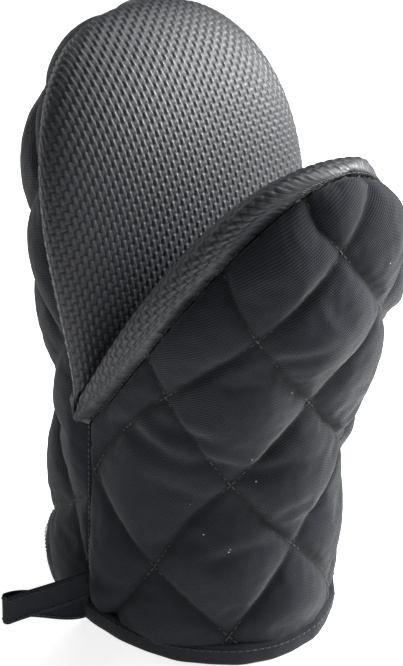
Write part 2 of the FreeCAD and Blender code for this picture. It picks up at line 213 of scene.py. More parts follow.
class Pattern:
    """One panel: its arch rows from first_way up to the tip, and the flat cloth that covers them."""

    def __init__(self, jaw, arch, first_way, fan=0.0):
        self.jaw, self.arch, self.fan = jaw, arch, fan
        past_crotch = jaw.length * np.sin(np.linspace(0, math.pi / 2, ROWS))
        cuff = np.linspace(first_way, 0, ROWS // 2, endpoint=False) if first_way < 0 else []
        self.way = np.concatenate([cuff, past_crotch])
        turn = np.linspace(0, math.pi, ROUND)
        points = arch(self.way[:, None] + 0 * turn, turn + 0 * self.way[:, None], jaw)
        lengths = np.cumsum(np.linalg.norm(np.diff(points, axis=1), axis=-1), axis=1)
        lengths = np.concatenate([np.zeros((len(self.way), 1)), lengths], 1)
        self.half = lengths[:, -1] / 2
        middle = points[:, ROUND // 2]
        self.v = way_along(middle)
        shares = np.linspace(0, 1, SHARES + 1)
        self.turns = np.array([np.interp(shares, row / max(row[-1], 1e-9), turn) for row in lengths])
        self.turns[-1] = self.turns[-2]      # the last row has shrunk to the tip
        self._edge()

    def row_v(self, u, v):
        """Height up the middle of the row that a flat point lies on; rows fan up towards the seams."""
        return v - self.fan * u * u

    def lay(self, u, v):
        """Flat points to points on the form."""
        v = self.row_v(u, v)
        way = np.interp(v, self.v, self.way)
        half = np.interp(v, self.v, self.half)
        share = np.clip(0.5 + 0.5 * u / np.maximum(half, 1e-6), 0, 1) * SHARES
        row = np.interp(v, self.v, np.arange(len(self.v)))
        r0, k0 = np.minimum(row.astype(int), len(self.v) - 2), np.minimum(share.astype(int), SHARES - 1)
        a, b = row - r0, share - k0
        low = self.turns[r0, k0] * (1 - b) + self.turns[r0, k0 + 1] * b
        high = self.turns[r0 + 1, k0] * (1 - b) + self.turns[r0 + 1, k0 + 1] * b
        return self.arch(way, low * (1 - a) + high * a, self.jaw)

    def normals(self, u, v):
        """Outward normals of the form at flat points."""
        step = 0.6 * MM
        across = self.lay(u + step, v) - self.lay(u - step, v)
        up = self.lay(u, v + step) - self.lay(u, v - step)
        n = unit(np.cross(across, up))
        middle = seam_middle(np.interp(self.row_v(u, v), self.v, self.way), self.jaw)
        inside = np.concatenate([0 * u[..., None], middle], -1)
        flip = np.sign(np.sum(n * (self.lay(u, v) - inside), -1))
        return n * np.where(flip == 0, 1, flip)[..., None]

    def _edge(self):
        """Points along the pattern's edge, each with its place on the seam and the way into the mitt."""
        flat, place, inward = [], [], []
        plane = np.array([0, *self.jaw.out])
        for side in (-1, 1):
            seam = seam_run(self.jaw, self.way, side)
            run = unit(np.gradient(seam, axis=0))
            normal = np.where(self.way[:, None] > 0, plane, [0, self.jaw.facing, 0])
            into = np.cross(run, normal)
            into *= np.sign(-side * into[:, :1] + 1e-9)
            flat.append(np.stack([side * self.half, self.v + self.fan * self.half ** 2], 1))
            place.append(seam)
            inward.append(into)
        u = np.linspace(-self.half[0], self.half[0], 260)
        low = self.lay(u, self.fan * u * u)
        flat.append(np.stack([u, self.fan * u * u], 1))
        place.append(low)
        if self.way[0] < 0:        # at the hem, straight in; at the crotch, down between the two pads
            inward.append(unit(-low * [1, 1, 0]))
        else:
            inward.append(unit([0, 0, CROTCH - 4 * MM] + low * [0.85, 0, 0] - low))
        # closer points, so that the nearest one is never more than half a millimetre off
        self.edge_flat, self.edge_place, self.edge_in = (
            np.concatenate([thicken(part, parts_flat) for part, parts_flat in zip(group, flat)])
            for group in (flat, place, inward))
        self.tree = kdtree.KDTree(len(self.edge_flat))
        for i, (x, y) in enumerate(self.edge_flat):
            self.tree.insert((x, y, 0), i)
        self.tree.balance()

    def beyond(self, u, v):
        """Signed distance outside the edge, and the index of the nearest edge point."""
        found = [self.tree.find((x, y, 0))[1:] for x, y in zip(u, v)]
        index = np.array([f[0] for f in found])
        distance = np.array([f[1] for f in found])
        row = self.row_v(u, v)
        inside = (row > 0) & (row < self.v[-1]) & (np.abs(u) < np.interp(row, self.v, self.half))
        return np.where(inside, -distance, distance), index


def thicken(values, flat, spacing=0.8 * MM):
    """Values resampled evenly along a flat polyline."""
    length = way_along(flat)
    where = np.arange(0, length[-1], spacing)
    return np.stack([np.interp(where, length, column) for column in values.T], 1)


FAN = 2.0                     # per metre: how far rows rise towards the seams in the flat quilted cloth
back_pattern = Pattern(fingers, quilt_arch, -CROTCH, FAN)
front_pattern = Pattern(thumb, quilt_arch, -CROTCH, FAN)
finger_pattern = Pattern(fingers, grip_arch, 0.0)
thumb_pattern = Pattern(thumb, grip_arch, 0.0)
for name, pattern in (("back", back_pattern), ("front", front_pattern),
                      ("finger grip", finger_pattern), ("thumb grip", thumb_pattern)):
    print(f"{name}: {2 * max(pattern.half) / MM:.0f} mm wide and {pattern.v[-1] / MM:.0f} mm long, laid flat")


# %% [markdown]
# ## Cutting a piece of cloth
# A grid of cells is made in the flat, aligned with whatever the cloth is marked with: quilting rows, or the
# cells of the embossing. Cells well outside the pattern's edge are cut away, vertices that nearly meet the
# edge are pulled onto it so the seam comes out clean, and the rest is laid on the form. The flat coordinates
# are kept as the UV map, in metres, for the weave.

# %% The cutting function
ALLOWANCE = 6 * MM
SHEET = bpy.context.scene.collection
print("seam allowance", round(ALLOWANCE / MM), "mm")


def new_piece(name, bm):
    mesh = bpy.data.meshes.new(name)
    bm.to_mesh(mesh)
    bm.free()
    obj = bpy.data.objects.new(name, mesh)
    SHEET.objects.link(obj)
    for polygon in mesh.polygons:
        polygon.use_smooth = True
    return obj


def cloth_grid(cells_u, cells_v):
    """A flat grid of cells, and how far across and up it each point lies, from 0 to 1."""
    bm = bmesh.new()
    bmesh.ops.create_grid(bm, x_segments=cells_u, y_segments=cells_v, size=1.0)
    return bm, (np.array([vert.co[:2] for vert in bm.verts]) + 1) / 2


def lay_down(bm, place, flat):
    """Moves the points of a grid to their places, and keeps their flat coordinates as the UV map."""
    layer = bm.loops.layers.uv.new("cloth")
    bm.verts.index_update()
    for vert, spot in zip(bm.verts, place):
        vert.co = spot
    for face in bm.faces:
        for loop in face.loops:
            loop[layer].uv = flat[loop.vert.index]


def keep_on_points(obj, name, values):
    """Stores a number at each point, for the material to read."""
    attribute = obj.data.attributes.new(name, "FLOAT", "POINT")
    attribute.data.foreach_set("value", values.astype(np.float32))


def thicken_tape(obj, thickness, offset=0):
    solid = obj.modifiers.new("thickness", "SOLIDIFY")
    solid.thickness = thickness
    solid.offset = offset


def subdivide(obj):
    modifier = obj.modifiers.new("rounding", "SUBSURF")
    modifier.levels = modifier.render_levels = 1


# %% Marking and cutting
class Marking:
    """Two families of parallel lines on the flat cloth: grid = rows . flat / cell + phase."""

    def __init__(self, angles, cell, phase=(0.0, 0.0)):
        self.rows = np.array([[math.cos(math.radians(a)), math.sin(math.radians(a))] for a in angles])
        self.cell, self.phase = np.array(cell), np.array(phase)

    def to_grid(self, u, v):
        return (np.stack([u, v], -1) @ self.rows.T) / self.cell + self.phase

    def to_flat(self, grid):
        return ((grid - self.phase) * self.cell) @ np.linalg.inv(self.rows).T


def cut_cloth(name, pattern, marking, raise_by, allowance=ALLOWANCE, steps=1):
    """A cloth whose grid lines follow the marking, steps of them to a cell. raise_by(u, v, depth) is the
    height above the form, depth being the distance inside the edge. Returns the object and facts on its
    points."""
    corners = marking.to_grid(*pattern.edge_flat.T) * steps
    spare = math.ceil(allowance / min(marking.cell) * steps) + 2
    low, high = np.floor(corners.min(0)) - spare, np.ceil(corners.max(0)) + spare
    count = (high - low).astype(int)
    bm, shares = cloth_grid(*map(int, count))
    grid = np.rint(shares * count) + low
    flat = marking.to_flat(grid / steps)
    distance, nearest = pattern.beyond(flat[:, 0], flat[:, 1])
    step = min(marking.cell) / steps
    on_edge = distance > -0.35 * step
    u = np.where(on_edge, pattern.edge_flat[nearest, 0], flat[:, 0])
    v = np.where(on_edge, pattern.edge_flat[nearest, 1], flat[:, 1])
    height = raise_by(flat[:, 0], flat[:, 1], -distance)
    place = pattern.lay(u, v) + pattern.normals(u, v) * height[:, None]
    tucked = (pattern.edge_place[nearest]
              + pattern.edge_in[nearest] * (SEAM_SINK + np.maximum(distance, 0))[:, None])
    place = np.where(on_edge[:, None], tucked, place)
    lay_down(bm, place, flat)
    keep = distance < allowance
    bmesh.ops.delete(bm, geom=[vert for vert, kept in zip(list(bm.verts), keep) if not kept], context="VERTS")
    flip_outwards(bm, pattern)
    obj = new_piece(name, bm)
    print(f"{name}: {len(obj.data.vertices)} points, {len(obj.data.polygons)} cells")
    return obj, SimpleNamespace(flat=flat[keep], grid=grid[keep], depth=-distance[keep])


def flip_outwards(bm, pattern):
    """Turns the cloth over if its faces point into the mitt."""
    vote = 0.0
    for face in list(bm.faces)[::97]:
        face.normal_update()
        centre = face.calc_center_median()
        way = np.array([centre.y, centre.z - CROTCH]) @ pattern.jaw.along
        inner = seam_middle(np.array(way if centre.z > CROTCH else centre.z - CROTCH), pattern.jaw)
        vote += face.normal.dot(centre - Vector((0, *inner)))
    if vote < 0:
        bmesh.ops.reverse_faces(bm, faces=bm.faces[:])


# %% [markdown]
# ## Quilting
# On the real mitt twill, wadding and lining are sewn together along two families of rows that cross in
# diamonds. The wadding pushes each diamond up and the rows hold it down. I first raise every diamond a little
# by formula, so that the simulation starts on the right side, and then let Blender's Cloth swell it with air
# pressure while the rows and the seams are pinned. The cloth is given a little spare length, so it wrinkles
# into the rows as real quilting does.

# %% Swelling a cloth between its sewn rows
def swell(obj, sewn, pressure, spare, frames, most):
    """Cloth simulation with the points in sewn held still; no point may move further than most."""
    mesh = obj.data
    start = np.array([vert.co for vert in mesh.vertices])
    wobble = np.random.default_rng(7).normal(0, 0.12 * MM, start.shape)
    wobble[sewn] = 0
    mesh.vertices.foreach_set("co", (start + wobble).ravel())
    held = obj.vertex_groups.new(name="sewn")
    held.add([int(i) for i in np.flatnonzero(sewn)], 1.0, "REPLACE")
    modifier = obj.modifiers.new("cloth", "CLOTH")
    cloth = modifier.settings
    cloth.quality = 7
    cloth.mass = 0.15
    cloth.tension_stiffness = cloth.compression_stiffness = 12
    cloth.shear_stiffness = 4
    cloth.bending_stiffness = 1.5
    cloth.tension_damping = cloth.compression_damping = cloth.shear_damping = 6
    cloth.vertex_group_mass = "sewn"
    cloth.use_pressure = True
    cloth.uniform_pressure_force = pressure
    cloth.shrink_min = -spare
    cloth.effector_weights.gravity = 0
    modifier.collision_settings.use_collision = False
    modifier.point_cache.frame_start, modifier.point_cache.frame_end = 1, frames
    scene = bpy.context.scene
    for frame_number in range(1, frames + 1):
        scene.frame_set(frame_number)
    evaluated = obj.evaluated_get(bpy.context.evaluated_depsgraph_get())
    moved = np.array([vert.co for vert in evaluated.data.vertices]) - start
    scene.frame_set(1)
    obj.modifiers.remove(modifier)
    obj.vertex_groups.remove(held)
    reach = np.linalg.norm(moved, axis=1, keepdims=True)
    moved *= np.minimum(1, most / np.maximum(reach, 1e-9))
    mesh.vertices.foreach_set("co", (start + moved).ravel())
    mesh.update()
    print(f"{obj.name}: swelled by {reach.mean() / MM:.2f} mm on average, {reach.max() / MM:.1f} at most")


# %% The rows of quilting, and the two quilted panels
ROW_SPACING = 46.6 * MM
front_rows = Marking((44.6, -39.3), (ROW_SPACING, ROW_SPACING), (0.229, 2.724))
back_rows = Marking((45, -45), (ROW_SPACING, ROW_SPACING), (0.30, 0.30))
STEPS = 20                    # grid cells between two rows
VALLEY, PUFF = 2.4 * MM, 6.0 * MM
ROW_SHADE_REACH = 1.7 * MM             # how far either side of a quilting row the painted shade reaches
# where the cloth is pressed together as the jaws bend it folds: (u, v, half length, half width, slant, depth)
FRONT_FOLDS = [(-70, 97, 17, 3.2, -6, 2.2), (-40, 95, 12, 2.6, -4, 1.8), (-22, 93, 13, 2.8, 6, 1.8),
               (-56, 107, 15, 3.0, 8, 1.4), (-20, 148, 13, 2.6, 24, 1.3), (-27, 55, 13, 2.6, 4, 1.4),
               (28, 96, 18, 3.0, 5, 1.9), (60, 92, 16, 3.0, -8, 1.8), (5, 62, 12, 2.6, -6, 1.1),
               (45, 145, 14, 3.0, -20, 1.3), (-52, 60, 11, 2.4, 8, 0.8), (70, 60, 14, 2.6, 6, 1.1)]
BACK_FOLDS = [(-60, 92, 17, 3.2, -5, 1.9), (-20, 88, 15, 3.0, 5, 1.7), (25, 92, 17, 3.0, -4, 1.9),
              (62, 97, 15, 3.0, 6, 1.7), (-35, 140, 14, 3.0, 12, 1.2), (30, 150, 15, 3.0, -14, 1.2),
              (0, 50, 13, 2.6, 4, 1.1), (55, 45, 12, 2.6, -6, 1.0), (-65, 45, 12, 2.6, 6, 1.0)]


def fold_depth(folds, u, v):
    """Depth of the folds: each is a short wavering groove with a low ridge beside it."""
    total = 0 * u
    for at_u, at_v, half_long, half_wide, slant, depth in folds:
        du, dv = u / MM - at_u, v / MM - at_v
        turn = math.radians(slant)
        along, across = du * math.cos(turn) + dv * math.sin(turn), dv * math.cos(turn) - du * math.sin(turn)
        across = across + 1.2 * np.sin(along / half_long * 2.2 + at_u)
        groove = np.exp(-(across / half_wide) ** 2)
        ridge = 0.5 * np.exp(-((across - 2.3 * half_wide) / half_wide) ** 2)
        total = total + depth * MM * (groove - ridge) * np.exp(-(along / half_long) ** 4)
    return total


def quilting(marking, folds):
    """Height of the puffed diamonds, which flatten towards the seams and the hem."""
    def height(u, v, depth):
        grid = marking.to_grid(u, v)
        diamond = np.abs(np.sin(math.pi * grid[..., 0]) * np.sin(math.pi * grid[..., 1])) ** 0.5
        near = smooth((depth + 1 * MM) / (10 * MM)) ** 0.5 * (0.2 + 0.8 * smooth((v - 9 * MM) / (18 * MM)))
        return near * (PUFF * diamond - VALLEY - fold_depth(folds, u, v) * smooth(diamond * 2.5))
    return height


def quilt_panel(name, pattern, marking, folds):
    obj, facts = cut_cloth(name, pattern, marking, quilting(marking, folds), steps=STEPS)
    on_row = (facts.grid % STEPS == 0).any(1)
    swell(obj, on_row | (facts.depth < 1.2 * MM), pressure=1.2, spare=0.012, frames=20, most=4 * MM)
    # painted shade for the twill colour: 1 on a quilting row, fading away to either side
    across = np.abs(facts.grid / STEPS - np.rint(facts.grid / STEPS)).min(1) * ROW_SPACING
    keep_on_points(obj, "painted_row_shade", np.exp(-(across / ROW_SHADE_REACH) ** 2))
    return obj, facts


front_quilt, front_facts = quilt_panel("front_quilt", front_pattern, front_rows, FRONT_FOLDS)
back_quilt, back_facts = quilt_panel("back_quilt", back_pattern, back_rows, BACK_FOLDS)

# %% [markdown]
# ## Embossed neoprene
# The gripping faces are foam rubber pressed with a tight basket pattern: short upright ribs and short level
# ribs take turns, so that it looks woven. It is real relief, so I model it. The grid is cut five cells to
# each rib, the height comes from a formula, and the same height is stored as an attribute, so that the
# material can paint shade into the grooves (darker colour where the relief is low) and make them duller.

# %% The relief and the two pads
RIB = (2.4 * MM, 2.6 * MM)    # one cell, across and up
RIB_STEPS = 5
RELIEF = 0.6 * MM
finger_ribs, thumb_ribs = Marking((9, 92), RIB), Marking((-9, 88), RIB)


def basket(grid):
    """0 in the grooves, 1 on the upright ribs and a little less on the level ones."""
    cell = np.floor(grid + 1e-6)
    x, y = np.moveaxis(grid - cell, -1, 0)
    upright = (cell.sum(-1) % 2) == 0
    tall = np.sin(math.pi * x) ** 2
    level = 0.1 + 0.5 * np.abs(np.sin(math.pi * y)) ** 0.7
    return np.where(upright, tall, level)


def grip_pad(name, pattern, marking):
    def height(u, v, depth):
        near = smooth(depth / (4 * MM))
        dents = 0.5 * MM * np.sin(u / (19 * MM) + 1.0) * np.sin(v / (27 * MM))
        return near * (RELIEF * basket(marking.to_grid(u, v)) + dents)
    obj, facts = cut_cloth(name, pattern, marking, height, steps=RIB_STEPS, allowance=4 * MM)
    # the relief is kept for the material, which paints shade into the grooves and makes them rougher
    keep_on_points(obj, "relief", basket(facts.grid / RIB_STEPS))
    return obj


finger_grip = grip_pad("finger_grip", finger_pattern, finger_ribs)
thumb_grip = grip_pad("thumb_grip", thumb_pattern, thumb_ribs)

# %% [markdown]
# ## Wadding and lining
# Under the twill lies a soft wadding, and inside it a plain lining. They are seen only through the hand
# opening, so a coarse cloth is enough, but they are real pieces: without them the mitt would be thin at its
# hem. They are cut from the same patterns, further in.

# %% The inner layers
def inner_layer(name, pattern, depth_in, thickness, coarse=5 * MM, from_edge=2.5 * MM):
    marking = Marking((0, 90), (coarse, coarse))

    def height(u, v, depth):
        return -depth_in - 0.4 * MM * np.sin(u / (9 * MM)) * np.sin(v / (11 * MM))
    obj, facts = cut_cloth(name, pattern, marking, height, allowance=from_edge)
    thicken_tape(obj, thickness)
    return obj


WADDING, LINING = 3.4 * MM, 0.8 * MM          # thicknesses
front_wadding = inner_layer("front_wadding", front_pattern, 4.6 * MM, WADDING, from_edge=-6 * MM)
back_wadding = inner_layer("back_wadding", back_pattern, 4.6 * MM, WADDING, from_edge=-6 * MM)
front_lining = inner_layer("front_lining", front_pattern, 7.2 * MM, LINING)
back_lining = inner_layer("back_lining", back_pattern, 7.2 * MM, LINING)
finger_grip_lining = inner_layer("finger_grip_lining", finger_pattern, 4 * MM, LINING)
thumb_grip_lining = inner_layer("thumb_grip_lining", thumb_pattern, 4 * MM, LINING)

# %% [markdown]
# ## Thread
# Quilting shows as short dashes of thread that dip into the cloth between them. One stitch is a small
# five-sided tube with tapered ends, and each row is a loop that lays stitches along a line of points which
# lie on the finished cloth. So the thread follows every pucker.

# %% Laying stitches along a line
THREAD = 0.24 * MM            # radius
print("one stitch is", round(2 * THREAD / MM, 2), "mm thick")


def add_stitch(bm, start, end, up, radius=THREAD):
    """One stitch that lies on the cloth and dips into it at both ends."""
    run = end - start
    if run.length < 1e-6:
        return
    rise = [0.0, 0.75, 1.0, 0.75, 0.0]
    side = run.normalized().cross(up).normalized()
    rings = []
    for i, share in enumerate((0.0, 0.2, 0.5, 0.8, 1.0)):
        centre = start + run * share + up * (radius * 1.1 * rise[i])
        slim = radius * (0.55 + 0.45 * rise[i])
        rings.append([bm.verts.new(centre + (side * math.cos(a) + up * math.sin(a)) * slim)
                      for a in (math.tau * k / 5 for k in range(5))])
    for low, high in zip(rings, rings[1:]):
        for k in range(5):
            bm.faces.new((low[k], low[(k + 1) % 5], high[(k + 1) % 5], high[k]))
    bm.faces.new(rings[0])
    bm.faces.new(rings[-1][::-1])


def sew(bm, line, ups, length=2.5 * MM, gap=0.55 * MM, radius=THREAD):
    """Stitches along a polyline."""
    line, ups = np.array(line), np.array(ups)
    way = way_along(line)
    if way[-1] < length:
        return 0
    count = int(way[-1] / (length + gap))
    for i in range(count):
        a = i * way[-1] / count
        ends = [Vector([np.interp(w, way, column) for column in line.T]) for w in (a, a + length)]
        up = Vector([np.interp(a + length / 2, way, column) for column in ups.T])
        add_stitch(bm, ends[0], ends[1], up.normalized(), radius)
    return count


def finish_thread(name, bm):
    bmesh.ops.recalc_face_normals(bm, faces=bm.faces[:])
    return new_piece(name, bm)


# %% Stitches along the rows of each panel
def quilt_stitches(name, quilt, facts):
    bm = bmesh.new()
    total = 0
    place = np.array([vert.co for vert in quilt.data.vertices])
    normal = np.array([vert.normal for vert in quilt.data.vertices])
    for family in (0, 1):
        other = 1 - family
        on_row = (facts.grid[:, family] % STEPS == 0) & (facts.depth > 1.5 * MM)
        for row in np.unique(facts.grid[on_row, family]):
            chosen = np.flatnonzero(on_row & (facts.grid[:, family] == row))
            chosen = chosen[np.argsort(facts.grid[chosen, other])]
            breaks = np.flatnonzero(np.diff(facts.grid[chosen, other]) > 1.5) + 1
            for run in np.split(chosen, breaks):
                if len(run) > 3:
                    total += sew(bm, place[run] + normal[run] * 0.12 * MM, normal[run])
    print(f"{name}: {total} stitches")
    return finish_thread(name, bm)


front_stitches = quilt_stitches("front_stitches", front_quilt, front_facts)
back_stitches = quilt_stitches("back_stitches", back_quilt, back_facts)


# %% Seams: a groove where two faces meet, with the thread just showing at its bottom
def seam_thread(name, points):
    bm = bmesh.new()
    out = unit(points * [1, 0, 0])
    count = sew(bm, points - out * 0.5 * MM, out, length=2.2 * MM, gap=0.5 * MM)
    print(f"{name}: {count} stitches")
    return finish_thread(name, bm)


def rim(jaw):
    """The seam round a jaw, from the crotch on the left over the tip to the crotch on the right."""
    ways = jaw.length * np.sin(np.linspace(0.03, math.pi / 2, 160))
    return np.concatenate([seam_run(jaw, ways, -1), seam_run(jaw, ways[::-1], 1)])


finger_thread = seam_thread("finger_thread", rim(fingers))
thumb_thread = seam_thread("thumb_thread", rim(thumb))
side_ways = np.linspace(12 * MM - CROTCH, -1 * MM, 60)
left_thread = seam_thread("left_side_thread", seam_run(thumb, side_ways, -1))
right_thread = seam_thread("right_side_thread", seam_run(thumb, side_ways, 1))

# %% [markdown]
# ## Hem binding
# A strip of twill is folded over the raw edge of all the layers and stitched through. I sweep its section, a
# narrow U, round the hem, and let its height and its bulge wander a little, as the layers under it do.

# %% The binding and its topstitching
TAPE = 0.9 * MM               # thickness
AROUND = 288
HEM_RADIUS = 68 * MM          # of a circle as long as the hem, for the weave
SECTION = [(0.9, 10.6), (-0.5, 10.2), (-1.3, 9.2), (-1.7, 7.0), (-1.6, 4.2), (-1.5, 2.0), (-0.9, 0.5),
           (0.6, 0.0), (3.6, 0.0), (6.4, 0.0), (7.9, 0.6), (8.4, 2.2), (8.4, 5.0), (8.3, 8.0),
           (8.0, 10.0)]       # (inward, height), mm


def hem_oval(turn, inward):
    """Point of the hem's outline, turn once round from the left seam through the front."""
    front = np.sin(turn) > 0
    depth = np.where(front, HEM_FRONT, HEM_BACK) - inward
    bend = np.abs(np.sin(turn)) ** CROWN
    return np.stack([-(HEM_SIDE - inward) * np.cos(turn), np.where(front, -1, 1) * depth * bend], -1)


def hem_ripple(turn):
    """How the layers under the tape make it wander."""
    return 0.35 * np.sin(11 * turn + 0.6) + 0.3 * np.sin(17 * turn + 2.0) + 0.2 * np.sin(29 * turn)


def binding_point(turn, inward, height):
    ripple = hem_ripple(turn) * MM
    xy = hem_oval(turn, inward - 0.6 * ripple)
    rise = height * (1 + 0.03 * np.sin(7 * turn + 1.0)) + 0.35 * ripple * (height > 1 * MM)
    return np.concatenate([xy, rise[..., None]], -1)


def make_binding():
    bm, shares = cloth_grid(AROUND, len(SECTION) - 1)
    turn = shares[:, 0] * math.tau
    step = np.rint(shares[:, 1] * (len(SECTION) - 1)).astype(int)
    section = np.array(SECTION)[step] * MM
    flat = np.stack([turn * HEM_RADIUS, way_along(SECTION)[step] * MM], 1)
    lay_down(bm, binding_point(turn, section[:, 0], section[:, 1]), flat)
    bmesh.ops.remove_doubles(bm, verts=bm.verts[:], dist=0.01 * MM)
    bmesh.ops.recalc_face_normals(bm, faces=bm.faces[:])
    obj = new_piece("binding", bm)
    thicken_tape(obj, TAPE, offset=-1)
    subdivide(obj)
    return obj


binding = make_binding()


def make_topstitch():
    bm = bmesh.new()
    turn = np.linspace(0, math.tau, 700)
    for inward, height in ((-1.72 * MM, 8.2 * MM), (8.55 * MM, 8.0 * MM)):
        line = binding_point(turn, inward + 0 * turn, height + 0 * turn)
        up = unit(line * [1, 1, 0] * (1 if inward < 0 else -1))
        sew(bm, line, up, length=2.4 * MM, gap=0.7 * MM, radius=0.26 * MM)
    return finish_thread("binding_topstitch", bm)


topstitch = make_topstitch()
print("binding and topstitch made, hem", round(2 * HEM_SIDE / MM), "mm across")

# %% [markdown]
# ## Hanging loop
# A flat tape doubled back on itself, its two ends caught in the left seam at the hem. The fold at the end
# stays round because the tape is stiff. I draw the line of the tape seen from above and sweep the tape's
# width along it. Its edges get a row of stitching.

# %% The tape
loop_box = [Vector(corner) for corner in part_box("hanging_loop")]
LOOP_LOW, LOOP_HIGH = loop_box[0].z, loop_box[1].z
LOOP_TIP, LOOP_ROOT = loop_box[0].x + 12 * MM, -HEM_SIDE + 1.0 * MM
LOOP_FOLD, LEG_APART = 1.6 * MM, 0.9 * MM      # radius of the fold; half the gap between the legs at the seam


def loop_line():
    """(x, y) along the middle of the tape: out by the back leg, round the fold, and home by the front one."""
    length = LOOP_ROOT - LOOP_TIP - LOOP_FOLD
    ways = np.linspace(0, 1, 26)
    spread = (LEG_APART + (LOOP_FOLD - LEG_APART) * smooth(ways * 1.15)
              + 0.3 * MM * np.sin(math.pi * ways))
    out = np.stack([LOOP_ROOT - length * ways, spread], 1)
    fold = np.linspace(math.pi / 2, 3 * math.pi / 2, 15)[1:-1]
    bend = np.stack([LOOP_TIP + LOOP_FOLD + LOOP_FOLD * np.cos(fold), LOOP_FOLD * np.sin(fold)], 1)
    home = out[::-1] * [1, -1]
    return np.concatenate([out, bend, home])


FRONT_LEG_LIFT, BACK_LEG_LIFT, TIP_LIFT = 5.5 * MM, -6.5 * MM, 7.5 * MM
LOOP_YAW = 2 * MM             # how far back the end of the loop hangs


def loop_point(line, across):
    """Tape point, across from 0 low to 1 high. The two legs are sewn in one above the other, so it twists."""
    x, y = line[:, 0], line[:, 1]
    root = smooth((x - LOOP_TIP) / (LOOP_ROOT - LOOP_TIP))
    lift = np.where(y < 0, FRONT_LEG_LIFT, BACK_LEG_LIFT) * root + TIP_LIFT * (1 - root)
    return np.stack([x, y + LOOP_YAW * (1 - root),
                     LOOP_LOW + (LOOP_HIGH - LOOP_LOW) * across + lift], 1)


def make_loop():
    line = loop_line()
    bm, shares = cloth_grid(len(line) - 1, 6)
    along = np.rint(shares[:, 0] * (len(line) - 1)).astype(int)
    across = shares[:, 1]
    flat = np.stack([way_along(line)[along], across * (LOOP_HIGH - LOOP_LOW)], 1)
    lay_down(bm, loop_point(line[along], across), flat)
    obj = new_piece("loop_tape", bm)
    thicken_tape(obj, 1.2 * MM)
    round_over = obj.modifiers.new("soft edges", "BEVEL")
    round_over.width = 0.35 * MM
    round_over.segments = 2
    round_over.limit_method = "ANGLE"
    subdivide(obj)
    return obj, line


loop_tape, tape_line = make_loop()


def make_loop_stitches():
    bm = bmesh.new()
    tangent = np.gradient(tape_line, axis=0)
    out = unit(np.stack([tangent[:, 1], -tangent[:, 0]], 1))
    for side in (-1, 1):
        shifted = tape_line + out * side * 0.66 * MM
        for across in (0.12, 0.88):
            line = loop_point(shifted, np.full(len(shifted), across))
            sew(bm, line, np.concatenate([out * side, 0 * out[:, :1]], 1), length=2.0 * MM, gap=0.6 * MM)
    return finish_thread("loop_stitches", bm)


loop_stitches = make_loop_stitches()


def make_bar_tack():
    """Close zigzag that fastens the tape's ends to the seam."""
    bm = bmesh.new()
    x = -HEM_SIDE - 1.9 * MM
    for i, z in enumerate(np.arange(LOOP_LOW + 1 * MM, LOOP_HIGH, 0.55 * MM)):
        y = 2.4 * MM * (1 if i % 2 else -1)
        add_stitch(bm, Vector((x, -y, z)), Vector((x, y, z + 0.5 * MM)), Vector((-1, 0, 0)), 0.22 * MM)
    return finish_thread("bar_tack", bm)


bar_tack = make_bar_tack()
print("loop stands", round((LOOP_ROOT - LOOP_TIP) / MM), "mm out from the seam")

# %% [markdown]
# ## Shader building blocks
# Every effect that two materials share is a node group with named sockets: the twill weave, fibre fuzz and
# lint, and cloudy wear. The weave reads the flat pattern in the UV map, whose unit is the metre, so its pitch
# is true to size on every piece.

# %% Helpers for node trees
def new_group(name, inputs, outputs):
    tree = bpy.data.node_groups.new(name, "ShaderNodeTree")
    for socket, kind, default in inputs:
        made = tree.interface.new_socket(socket, in_out="INPUT", socket_type=kind)
        if default is not None:
            made.default_value = default
    for socket, kind in outputs:
        tree.interface.new_socket(socket, in_out="OUTPUT", socket_type=kind)
    return tree, tree.nodes.new("NodeGroupInput").outputs, tree.nodes.new("NodeGroupOutput").inputs


def put(tree, target, value):
    """Links a socket, or sets a plain number or colour."""
    if isinstance(value, bpy.types.NodeSocket):
        tree.links.new(value, target)
    else:
        target.default_value = value


def maths(tree, operation, *values):
    node = tree.nodes.new("ShaderNodeMath")
    node.operation = operation
    for target, value in zip(node.inputs, values):
        put(tree, target, value)
    return node.outputs[0]


def vector_maths(tree, operation, *values):
    node = tree.nodes.new("ShaderNodeVectorMath")
    node.operation = operation
    for target, value in zip(node.inputs, values):
        put(tree, target, value)
    return node.outputs["Value" if operation in ("DOT_PRODUCT", "LENGTH") else "Vector"]


def noise(tree, vector, scale, detail=2.0, roughness=0.5):
    node = tree.nodes.new("ShaderNodeTexNoise")
    put(tree, node.inputs["Vector"], vector)
    put(tree, node.inputs["Scale"], scale)
    put(tree, node.inputs["Detail"], detail)
    put(tree, node.inputs["Roughness"], roughness)
    return node.outputs["Fac"]


def ramp(tree, value, low, high, to_low=0.0, to_high=1.0):
    node = tree.nodes.new("ShaderNodeMapRange")
    for socket, setting in zip(("Value", "From Min", "From Max", "To Min", "To Max"),
                               (value, low, high, to_low, to_high)):
        put(tree, node.inputs[socket], setting)
    return node.outputs["Result"]


def mix(tree, share, a, b, blend="MIX"):
    node = tree.nodes.new("ShaderNodeMix")
    node.data_type, node.blend_type = "RGBA", blend
    put(tree, node.inputs[0], share)
    put(tree, node.inputs[6], a)
    put(tree, node.inputs[7], b)
    return node.outputs[2]


def use(tree, group, **values):
    """Places a group in a material with its own values."""
    node = tree.nodes.new("ShaderNodeGroup")
    node.node_tree = group
    for name, value in values.items():
        put(tree, node.inputs[name], value)
    return node.outputs


def on_points(tree, name):
    """Reads a number that was kept on the points; 0 where a piece has none."""
    node = tree.nodes.new("ShaderNodeAttribute")
    node.attribute_name = name
    return node.outputs["Fac"]


def shaded(tree, colour, shade):
    """A colour made darker or lighter by a number."""
    grey = tree.nodes.new("ShaderNodeCombineColor")
    for channel in range(3):
        put(tree, grey.inputs[channel], shade)
    return mix(tree, 1.0, colour, grey.outputs[0], "MULTIPLY")


